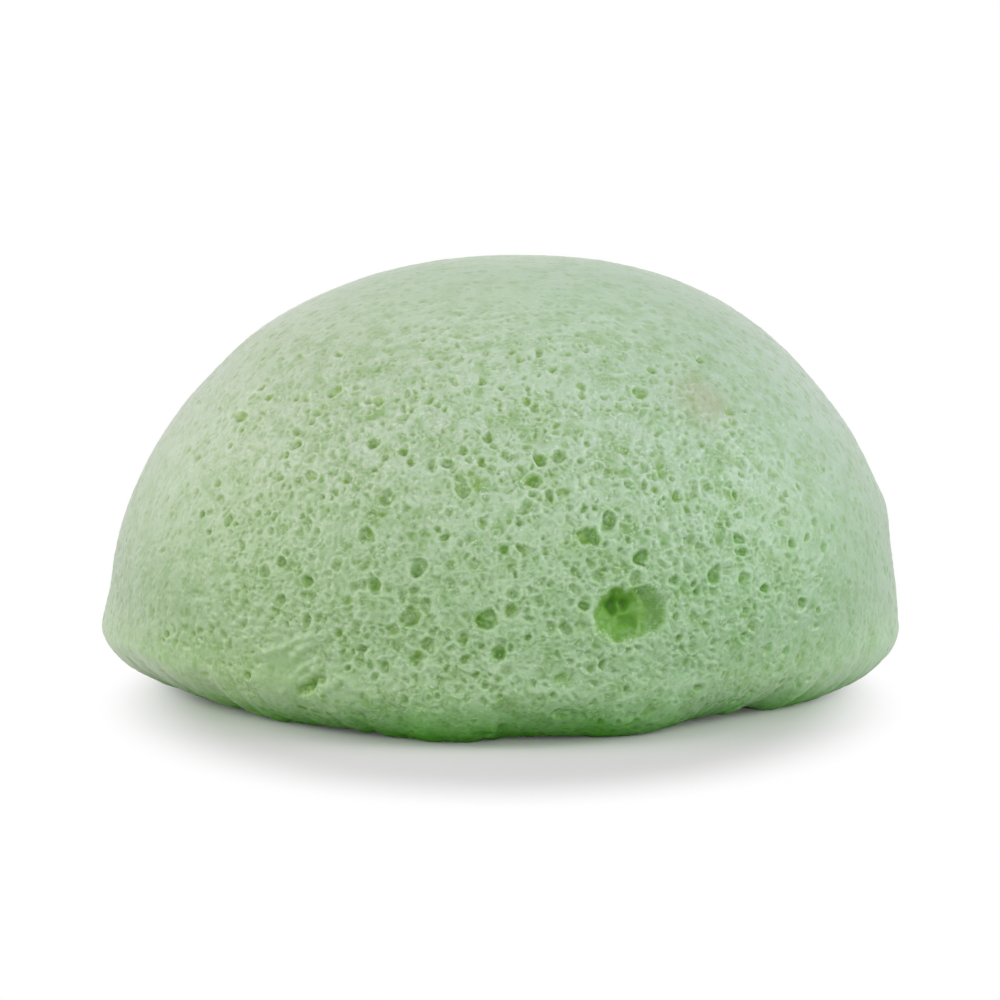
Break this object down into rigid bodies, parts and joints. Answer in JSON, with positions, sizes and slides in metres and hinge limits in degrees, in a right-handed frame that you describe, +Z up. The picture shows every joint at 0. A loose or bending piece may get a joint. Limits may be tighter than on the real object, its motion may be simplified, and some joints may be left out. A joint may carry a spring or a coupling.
{
  "type": "konjac sponge",
  "caption": "Half-ball facial sponge of foamed konjac gel, with a domed top, a soft turned-under edge and a flat resting face.",
  "frame": {"origin": "middle of the flat resting face", "axes": "+Z up towards the crown, +X to the right of the pictured side, -Y towards the pictured side"},
  "size_m": [0.08, 0.079, 0.0424],
  "materials": {
    "konjac_foam": "matte open-cell foam of plant gel, pale mint green with darker green cells, slightly see-through"
  },
  "bodies": {
    "root": {"sponge_body": "konjac_foam"}
  },
  "joints": []
}
